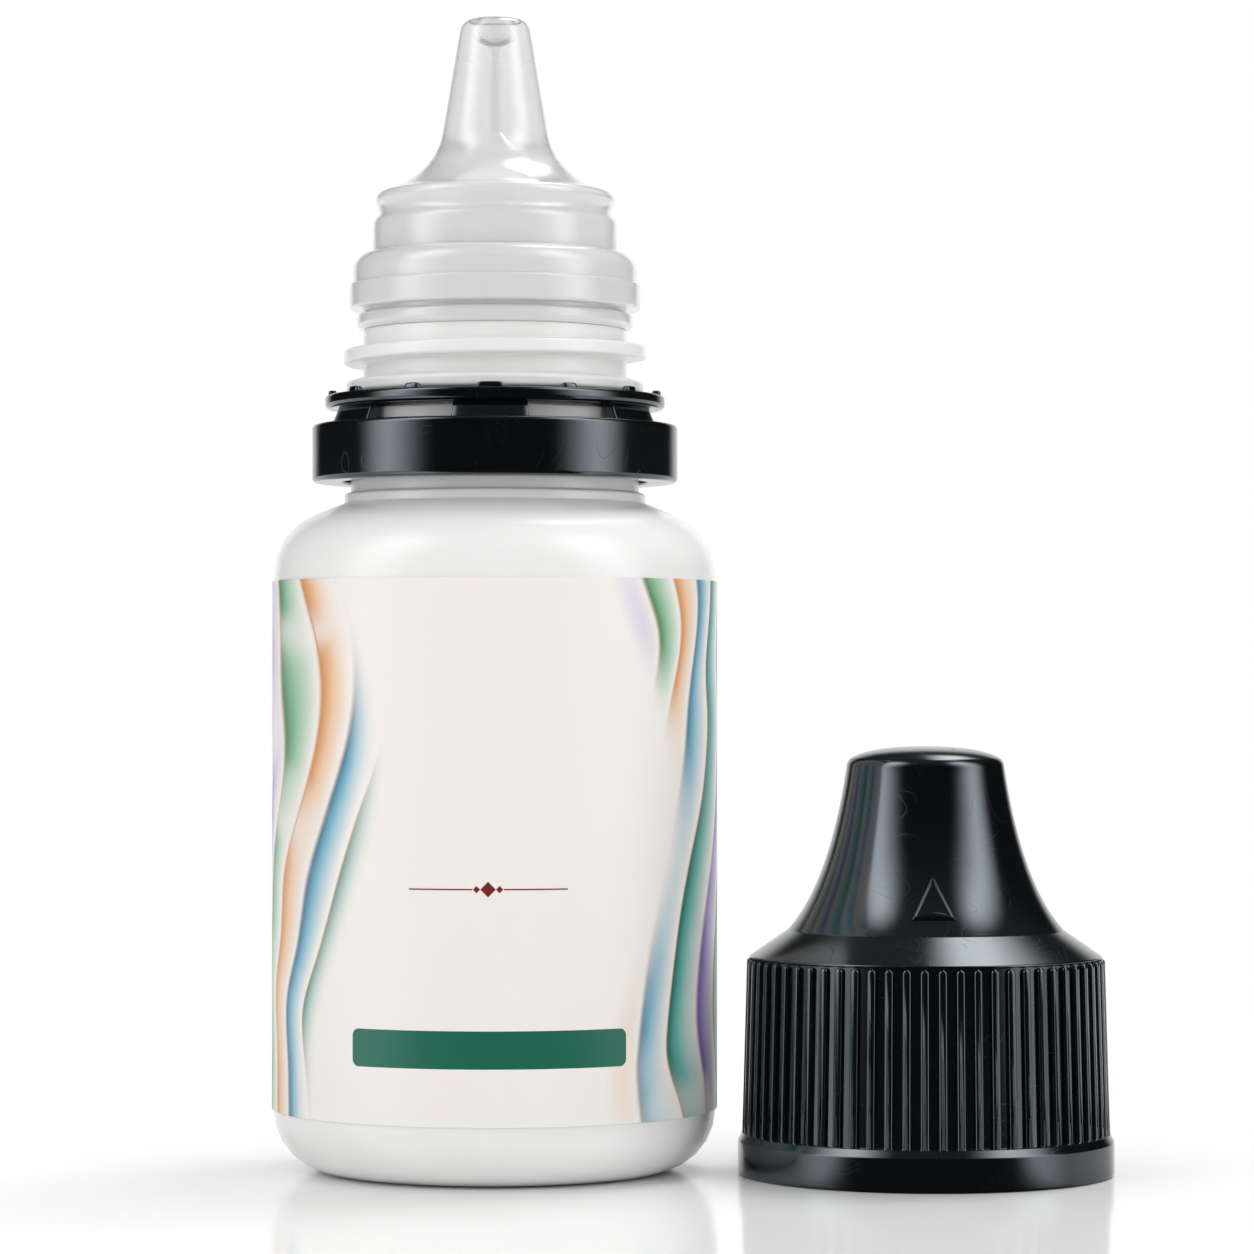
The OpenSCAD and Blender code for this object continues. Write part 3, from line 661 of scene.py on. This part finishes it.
def make_nozzle(material):
    """Dropper nozzle: foot, drum with its groove and bead, flank curve, spout, cup and hollow."""
    bead_r = DRUM_R - 0.6
    groove_r = DRUM_R - 0.35
    groove = curve([
        (DRUM_R, BEAD_Z - 1.5), (DRUM_R, BEAD_Z - 1.05), (groove_r, BEAD_Z - 1.05),
        (groove_r, BEAD_Z - 0.6),
    ], 10)
    flank = curve([
        (bead_r, FLANK_Z), (bead_r - 1.7, FLANK_Z + 0.65), (SPOUT_ROOT_R + 0.25, SPOUT_Z - 1.8),
        (SPOUT_ROOT_R, SPOUT_Z),
    ], 30)
    in_r = DRUM_R - DRUM_WALL
    roof_z = FLANK_Z - 1.05
    clamp_out_r = 4.5
    clamp_in_r = clamp_out_r - 0.8
    clamp_z = HEAD_Z + 0.75
    well_z = SPOUT_Z - 1.8
    outline = np.vstack([
        rounded([
            (in_r, HEAD_Z + 0.4), (in_r, HEAD_Z, 0.1), (FOOT_RIM_R, HEAD_Z, 0.1),
            (FOOT_RIM_R, HEAD_Z + FOOT_T, 0.1), (DRUM_R, HEAD_Z + FOOT_T, 0.1),
            (DRUM_R, HEAD_Z + FOOT_T + 0.5),
        ]),
        groove,
        arc(bead_r, BEAD_Z, BEAD_BULGE, -35, 75),
        flank[1:],
        arc(SPOUT_TIP_R - TIP_ROUND, TIP_Z - TIP_ROUND, TIP_ROUND, 5, 85),
        rounded([
            (CUP_R + 0.4, TIP_Z), (CUP_R + 0.3, TIP_Z, 0.03), (CUP_R + 0.3, TIP_Z - 0.55, 0.06),
            (CUP_R, TIP_Z - 0.55, 0.05), (CUP_R, TIP_Z - 1.5, 0.8),
            (CHANNEL_R, TIP_Z - 1.75, 0.05), (CHANNEL_R, well_z + 1.4, 0.3),
            (1.2, well_z, 0.3), (2.4, roof_z, 0.2), (clamp_in_r, roof_z, 0.1),
            (clamp_in_r, clamp_z, 0.1), (clamp_out_r, clamp_z, 0.1), (clamp_out_r, roof_z, 0.1),
            (in_r - 0.5, roof_z, 0.2), (in_r, roof_z - 0.5, 0.2), (in_r, HEAD_Z + 0.6),
        ]),
    ])
    return build("dropper_nozzle", [revolve(outline)], material, "bottle", "nozzle")


def make_collar(material):
    """Snap collar: round lip, flange, round shoulder and the groove over the spigot's bead."""
    top = collar_high[2]
    groove_r = SPIGOT_R + 0.25
    snap_z = SNAP_Z - FIT
    seat_z = HEAD_Z + FOOT_T + FIT
    outline = rounded([
        (SPIGOT_R + FIT, LIP_Z, 0.05),
        (LIP_R, LIP_Z, LIP_ROUND), (LIP_R, LIP_Z + LIP_H, LIP_ROUND - 0.1),
        (WAIST_R, LIP_Z + LIP_H, 0.04), (WAIST_R, FLANGE_Z, 0.06),
        (FLANGE_R, FLANGE_Z, 0.16), (FLANGE_R, FLANGE_Z + FLANGE_H, 0.14),
        (COLLAR_R, FLANGE_Z + FLANGE_H, 0.04), (COLLAR_R, top, 1.0),
        (DRUM_R + FIT, top, 0.03), (DRUM_R + FIT, seat_z, 0.03),
        (FOOT_RIM_R + FIT, seat_z, 0.03), (FOOT_RIM_R + FIT, RIM_Z, 0.03),
        (groove_r, RIM_Z, 0.03), (groove_r, snap_z, 0.03), (SPIGOT_R + FIT, snap_z, 0.03),
    ], closed=True)
    return build("snap_collar_ring", [revolve(outline)], material, "bottle", "snap_collar")


def sector(section, middle, span, count=14):
    """Rings of a section (radius, height) turned through a span of angle round the bottle. The
    section shrinks towards its centre at both ends, which rounds their edges."""
    bevel = 0.4
    steps = np.linspace(-span / 2, span / 2, count)
    turns = np.concatenate([
        steps[[0, 0]], steps[[0]] + bevel / 4, steps[[0]] + bevel, steps[1:-1],
        steps[[-1]] - bevel, steps[[-1]] - bevel / 4, steps[[-1, -1]]
    ])
    shrink = np.ones(len(turns))
    shrink[:3] = (0.6, 0.9, 0.97)
    shrink[-3:] = shrink[2::-1]
    centre = section.mean(axis=0)
    rings = centre + (section - centre) * shrink[:, None, None]
    turn = np.radians(middle + turns)[:, None]
    return stacked(np.stack([
        rings[..., 0] * np.sin(turn), -rings[..., 0] * np.cos(turn), rings[..., 1]
    ], axis=-1))


def make_ring(material):
    """Tamper ring: band, hoop, webs leaning in from band to hoop, and the broken bridges."""
    hoop_top = HOOP_Z + HOOP_H
    band = rounded([
        (BAND_IN_R, RING_LOW_Z, 0.12), (RING_R, RING_LOW_Z, 0.25), (RING_R, BAND_TOP_Z, 0.22),
        (BAND_IN_R, BAND_TOP_Z, 0.12),
    ], closed=True)
    hoop = rounded([
        (HOOP_IN_R, HOOP_Z, 0.1), (HOOP_R, HOOP_Z, 0.28), (HOOP_R, hoop_top, 0.2),
        (HOOP_IN_R, hoop_top, 0.1),
    ], closed=True)
    web = rounded([
        (HOOP_R - 0.1 - WEB_T, BAND_TOP_Z - 0.15, 0.05), (HOOP_R - 0.1, BAND_TOP_Z - 0.15, 0.05),
        (HOOP_R + 0.15 - WEB_T, HOOP_Z + 0.15, 0.05),
        (HOOP_R + 0.15 - 2 * WEB_T, HOOP_Z + 0.15, 0.05),
    ], closed=True)
    grids = [revolve(band), revolve(hoop)]
    for index in range(WEB_COUNT):
        grids.append(sector(web, index * 360 / WEB_COUNT, WEB_SPAN))
    middle_r = HOOP_R - 0.4
    for index in range(STUB_COUNT):
        width = 1.55 if index == 0 else 0.9
        grids.append(stub(index * 360 / STUB_COUNT, width, middle_r, hoop_top))
    return build("tamper_ring_part", grids, material, "tamper_ring", "tamper_ring")


def stub(angle, width, middle_r, base_z):
    """Broken bridge: rings of a rounded block's sections, each a superellipse that shrinks a
    little with its height."""
    around_ring = np.radians(np.linspace(0, 360, 24, endpoint=False))
    power = 0.45
    across = np.sign(np.cos(around_ring)) * abs(np.cos(around_ring)) ** power
    deep = np.sign(np.sin(around_ring)) * abs(np.sin(around_ring)) ** power
    levels = np.array([-0.1, 0.0, 0.55, 0.85, 1.0]) * STUB_H
    shrink = np.array([1.0, 1.0, 0.93, 0.84, 0.62])
    side = shrink[:, None] * across * width / 2
    out = middle_r + shrink[:, None] * deep * 0.25
    turn = math.radians(angle)
    rings = np.stack([
        out * math.sin(turn) + side * math.cos(turn),
        -out * math.cos(turn) + side * math.sin(turn),
        np.broadcast_to(base_z + levels[:, None], side.shape),
    ], axis=-1)
    return stacked(rings)


def grip_r(z):
    """Radius of the cap's grip between its ribs: a cone from its lower to its upper end."""
    share = (z - GRIP_LOW_Z) / (GRIP_TOP_Z - GRIP_LOW_Z)
    return GRIP_LOW_R + (GRIP_TOP_R - GRIP_LOW_R) * share


def ribs():
    """Grip ribs: each is a stack of rings in the (across, height) plane, an arched strip that
    draws in as it rises off the grip, with a fillet where it meets the band. A level is how far
    the strip has drawn in and its height over the grip."""
    fillet = 0.12
    low_z = BAND_H + 0.1
    foot_z = GRIP_LOW_Z - 0.02
    arch = np.radians(np.linspace(0, 180, 11))
    foot = np.radians(np.linspace(0, 90, 5))[::-1]
    grids = []
    levels = ((0.0, -0.2), (0.0, 0.1), (0.015, 0.19), (0.06, 0.255), (0.12, RIB_H),
              (RIB_W / 2 - 0.001, RIB_H))
    rings = []
    for inset, height in levels:
        half = RIB_W / 2 - inset
        top = np.column_stack([half * np.cos(arch), RIB_TOP_Z - RIB_W / 2 + half * np.sin(arch)])
        flare = np.column_stack([
            -half - fillet * (1 - np.sin(foot)), foot_z + fillet * (1 - np.cos(foot))
        ])
        left = np.vstack([flare, [[-half - fillet, low_z]]])
        right = left[::-1] * [-1, 1]
        ring = np.vstack([top, left, right])
        rings.append(np.column_stack([ring, np.full(len(ring), height)]))
    rings = np.array(rings)
    across, z, height = rings[..., 0], rings[..., 1], rings[..., 2]
    r = grip_r(z) + height
    for index in range(RIB_COUNT):
        turn = math.radians(RIB_PHASE + index * 360 / RIB_COUNT) + across / r
        points = np.stack([CAP_X + r * np.sin(turn), CAP_Y - r * np.cos(turn), z], axis=-1)
        grids.append(stacked(points))
    return grids


def flare_points(count=40):
    """Concave flare of the cap, from the chamfer's upper edge to the dome's edge."""
    return curve([
        (CHAMFER_R, CHAMFER_Z), (CHAMFER_R - 1.4, CHAMFER_Z + 1.5),
        (CAP_TOP_R + 0.7, DOME_Z - 4.7), (CAP_TOP_R, DOME_Z),
    ], count)


def opening_mark():
    """Raised triangle on the flare: rings of a triangle that draws in, laid on the flare's
    surface. They rise to a narrow crest and fall again, so that the face lies in a raised rim.
    The crest bows up over the base, where it leaves a steep lens. A level is the share that the
    triangle has drawn in and the share of the full height at that ring."""
    flare = flare_points(200)
    side = np.linspace(0, 1, 16)[:, None]
    base = -1.15
    corners = np.array([(-MARK_W / 2, base), (MARK_W / 2, base), (0, base + MARK_H)])
    triangle = np.vstack([
        corners[i] + (corners[(i + 1) % 3] - corners[i]) * side[:-1] for i in range(3)
    ])
    centre = corners.mean(axis=0)
    along = triangle[:, 0] / (MARK_W / 2)
    lens = MARK_LENS * (1 - along**2) * (triangle[:, 1] < base + 0.01)
    rings = []
    levels = ((0.0, -1.0), (0.0, 0.3), (0.02, 0.8), (0.05, 1.0), (0.08, 1.0), (0.12, 0.6),
              (0.16, 0.2), (0.22, 0.12), (0.4, 0.1), (0.7, 0.1), (0.9, 0.1))
    for inset, share in levels:
        flat = centre + (triangle - centre) * (1 - inset)
        across, up = flat[:, 0], flat[:, 1]
        up = up + lens * min(1, inset / 0.05) * (1 - inset)
        z = MARK_Z + up / MARK_SLANT
        r = np.interp(z, flare[:, 1], flare[:, 0]) + MARK_OUT * share
        z = z + 0.4 * MARK_OUT * share
        turn = across / r
        rings.append(np.column_stack([CAP_X + r * np.sin(turn), CAP_Y - r * np.cos(turn), z]))
    return stacked(np.array(rings))


def make_cap(material):
    """Cap: foot band, grip cone, chamfer, flare and dome outside; bore, thread, cavity and the
    stepped pin of the tip seal inside; ribs and mark on top."""
    tip = TIP_Z - CAP_SEAT_Z
    cavity_top_z = CAP_H - 1.6
    throat_z = FLANK_Z - (TIP_Z - tip) + 0.1
    pin_z = tip - 1.5 + 0.3
    dome = math.radians(65)
    dome_r = CAP_TOP_R - DOME_ROUND
    rim = (dome_r + DOME_ROUND * math.cos(dome), DOME_Z + DOME_ROUND * math.sin(dome))
    outer = np.vstack([
        curve([(0, CAP_H), (CAP_TOP_R / 2, CAP_H), (rim[0] - 0.6, rim[1] + 0.35), rim], 14),
        arc(dome_r, DOME_Z, DOME_ROUND, 60, 5),
        flare_points()[::-1][:-1],
        rounded([
            (CHAMFER_R - 0.05, CHAMFER_Z + 0.05), (CHAMFER_R, CHAMFER_Z, 0.1),
            (GRIP_TOP_R + 0.2, GRIP_TOP_Z + 0.03, 0.07), (GRIP_TOP_R, GRIP_TOP_Z - 0.03, 0.05),
            (GRIP_LOW_R, GRIP_LOW_Z, 0.04), (GRIP_LOW_R + RIB_H + 0.02, GRIP_LOW_Z, 0.05),
            (BAND_R, BAND_H, 0.1), (BAND_R, 0, 0.15),
            (CAP_BORE_R + 0.15, 0, 0.05), (CAP_BORE_R, 0.15, 0.01), (CAP_BORE_R, 0.2),
        ]),
    ])
    thread = helix_ridge(CAP_BORE_R, CAP_THREAD_R, 0.7, 0.3, 1.0)
    inner = np.vstack([
        rounded([
            (CAP_BORE_R, 1.9), (CAP_BORE_R, 6.4, 0.2), (CAP_BORE_R - 0.3, 6.7, 0.2),
            (CAP_BORE_R - 0.3, throat_z, 0.3), (6.4, throat_z + 1.9, 0.3),
            (6.3, throat_z + 2.05),
        ]),
        curve([
            (6.3, throat_z + 2.05), (5.1, throat_z + 3.6), (3.8, cavity_top_z - 4.7),
            (3, cavity_top_z - 0.3),
        ], 16)[1:],
        rounded([
            (3, cavity_top_z - 0.2), (3, cavity_top_z, 0.1), (1.6, cavity_top_z, 0.1),
            (1.6, tip + FIT, 0.1), (CUP_R - FIT, tip + FIT, 0.05), (CUP_R - FIT, pin_z, 0.15),
            (0, pin_z),
        ]),
    ])
    shell = (around(joined(outer, thread, inner), (CAP_X, CAP_Y)), True, False)
    return build("screw_cap", [shell, *ribs(), opening_mark()], material, "cap", "cap")


def dress_inner_nodes():
    """Finishes of the CAD nodes inside the head, which stay as they are."""
    finishes = {
        "flow_insert": moulded("natural_insert", rgb(236, 237, 235), 0.4),
        "vent_filter": moulded("porous_filter", rgb(214, 217, 220), 0.85, bump=0.9),
        "valve": moulded("soft_valve", rgb(222, 229, 233), 0.35,
                         **{"Transmission Weight": 0.4, "IOR": 1.41}),
    }
    for name, material in finishes.items():
        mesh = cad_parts[name].data
        mesh.materials.clear()
        mesh.materials.append(material)


def make_floor():
    """Glossy white sheet under the object. In mirrors, a wedge of it that widens from the cap
    towards the front is painted nearly black: painted shade in place of a dark studio."""
    material = bpy.data.materials.new("studio_floor")
    graph = Graph(material)
    path = graph.node("ShaderNodeLightPath").outputs
    lit = graph.node("ShaderNodeBsdfDiffuse", {"Color": (0.93, 0.93, 0.93, 1)})
    seen = graph.math("MAXIMUM", path["Is Camera Ray"],
                      graph.math("MAXIMUM", path["Is Glossy Ray"], path["Is Transmission Ray"]))
    gloss = graph.node("ShaderNodeBsdfGlossy", {"Color": (1, 1, 1, 1), "Roughness": 0.12})
    near = graph.node("ShaderNodeMixShader", {
        "Fac": 0.34, 1: lit.outputs[0], 2: gloss.outputs[0]
    })
    white = graph.node("ShaderNodeEmission", {"Color": (1, 1, 1, 1), "Strength": 1.0})
    place = graph.place()
    reach = graph.node("ShaderNodeVectorMath", {0: place}, operation="LENGTH").outputs["Value"]
    far_share = graph.math("MULTIPLY", graph.step(reach, 0.05, 0.16), seen)
    mixed = graph.node("ShaderNodeMixShader", {
        "Fac": far_share, 1: near.outputs[0], 2: white.outputs[0]
    })
    x, y, _ = graph.node("ShaderNodeSeparateXYZ", {"Vector": place}).outputs
    aside = graph.math("ABSOLUTE", graph.math("SUBTRACT", x, CAP_X * MM))
    ahead = graph.math("SUBTRACT", graph.math("MULTIPLY", aside, -0.85), y)
    # Painted shade: glossy rays see this wedge of floor in front of the cap nearly black
    mirror_shade_wedge = graph.step(ahead, 0.0, 0.008)
    painted_mirror_shade = graph.node("ShaderNodeEmission", {"Color": (1, 1, 1, 1), "Strength": 0.02})
    mirrored = graph.node("ShaderNodeMixShader", {
        "Fac": graph.math("MULTIPLY", mirror_shade_wedge, path["Is Glossy Ray"]),
        1: mixed.outputs[0], 2: painted_mirror_shade.outputs[0]
    })
    graph.node("ShaderNodeOutputMaterial", {"Surface": mirrored.outputs[0]})
    size, depth = 3.0, -0.00002
    mesh = bpy.data.meshes.new("floor")
    corners = [
        (-size, -size, depth), (size, -size, depth), (size, size, depth), (-size, size, depth)
    ]
    mesh.from_pydata(corners, [], [(0, 1, 2, 3)])
    mesh.materials.append(material)
    floor = bpy.data.objects.new("floor", mesh)
    bpy.context.scene.collection.objects.link(floor)


def make_world():
    """White backdrop. The camera sees it everywhere. Mirrored rays see it behind the object, a
    tall soft box with soft edges on either side, another overhead on the right, and a dark
    studio elsewhere. Rays that went through see it dimmer in front, and everything else gets a
    plain soft fill."""
    world = bpy.data.worlds.new("studio")
    bpy.context.scene.world = world
    graph = Graph(world)
    path = graph.node("ShaderNodeLightPath").outputs
    way = graph.node("ShaderNodeSeparateXYZ", {
        "Vector": graph.node("ShaderNodeTexCoord").outputs["Generated"]
    }).outputs
    right, back, up = way["X"], way["Y"], way["Z"]

    def window(value, low, high, soft):
        """One between low and high, with a smooth rise and fall of width soft."""
        rise = graph.step(value, low - soft / 2, low + soft / 2)
        fall = graph.step(value, high - soft / 2, high + soft / 2)
        return graph.math("MULTIPLY", rise, graph.math("SUBTRACT", 1.0, fall))

    aside = graph.step(graph.math("ABSOLUTE", right), 0.3, 0.62)
    beside = graph.math("MULTIPLY", window(back, -0.57, -0.15, 0.46), aside)
    side_boxes = graph.math("MULTIPLY", beside, graph.math("MULTIPLY_ADD", up, 2.4, 2.5))
    overhead = graph.math("MULTIPLY", graph.step(up, 0.6, 0.78), graph.step(back, 0.03, 0.2))
    above = graph.math("MULTIPLY", window(right, 0.1, 0.36, 0.2), overhead)
    top_box = graph.math("MULTIPLY", above, 4.6)
    backdrop = graph.math("MULTIPLY", graph.step(back, 0.8, 0.95),
                          graph.math("SUBTRACT", 1.0, graph.step(up, 0.3, 0.6)))
    dim = graph.math("MULTIPLY_ADD", graph.step(up, 0.3, 1.0), 0.1, 0.01)
    mirrored = graph.math("ADD", graph.math("ADD", side_boxes, top_box),
                          graph.math("ADD", backdrop, dim))
    through = graph.math("MULTIPLY_ADD", graph.step(back, -0.3, 0.7), 0.2, 0.8)
    soft = graph.math("MULTIPLY_ADD", graph.step(back, -0.2, 0.8), -0.14, 0.84)
    strength = graph.math("MAXIMUM", path["Is Camera Ray"], soft)
    for ray, level in (("Is Glossy Ray", mirrored), ("Is Transmission Ray", through)):
        strength = graph.blend(path[ray], strength, level)
    made = graph.node("ShaderNodeBackground", {"Color": (1, 1, 1, 1), "Strength": strength})
    graph.node("ShaderNodeOutputWorld", {"Surface": made.outputs[0]})


def area_lamp(name, place, target, size, watts):
    """Rectangular soft lamp at place, facing target. Mirrors show the world's soft boxes instead,
    which have soft edges."""
    light = bpy.data.lights.new(name, "AREA")
    light.shape = "RECTANGLE"
    light.size, light.size_y = size
    light.energy = watts
    lamp = bpy.data.objects.new(name, light)
    lamp.location = place
    way = np.array(target) - np.array(place)
    lamp.rotation_euler = (
        math.atan2(math.hypot(way[0], way[1]), -way[2]), 0, math.atan2(-way[0], way[1])
    )
    lamp.visible_glossy = False
    bpy.context.scene.collection.objects.link(lamp)


def make_lamps():
    """One soft lamp overhead, behind and to the right, and a weak one on either side in front."""
    area_lamp("overhead", (0.17, 0.17, 0.55), (0.02, 0, 0.02), (0.2, 0.3), 1.1)
    for name, side in (("front_left", -1), ("front_right", 1)):
        area_lamp(name, (0.01 + side * 0.27, -0.22, 0.15), (0.01, 0, 0.03), (0.12, 0.3), 0.15)


def make_camera():
    """Camera of the photograph: nearly level, a little above half the bottle's height."""
    data = bpy.data.cameras.new("camera")
    data.lens = CAMERA_LENS
    data.sensor_width = 36
    data.clip_start = 0.01
    camera = bpy.data.objects.new("camera", data)
    camera.location = (CAMERA_X * MM, -CAMERA_DISTANCE * MM, CAMERA_Z * MM)
    camera.rotation_euler = (math.radians(90 + CAMERA_PITCH), 0, 0)
    bpy.context.scene.collection.objects.link(camera)
    bpy.context.scene.camera = camera


gloss_white = moulded("gloss_white", rgb(244, 244, 243), 0.22)
gloss_black = black_plastic()
translucent = frosted_plastic()
make_bottle(gloss_white)
make_label(label_print())
make_nozzle(translucent)
make_collar(translucent)
make_ring(gloss_black)
make_cap(gloss_black)
dress_inner_nodes()
make_floor()
make_world()
make_lamps()
make_camera()
bpy.context.scene.view_settings.view_transform = "Standard"
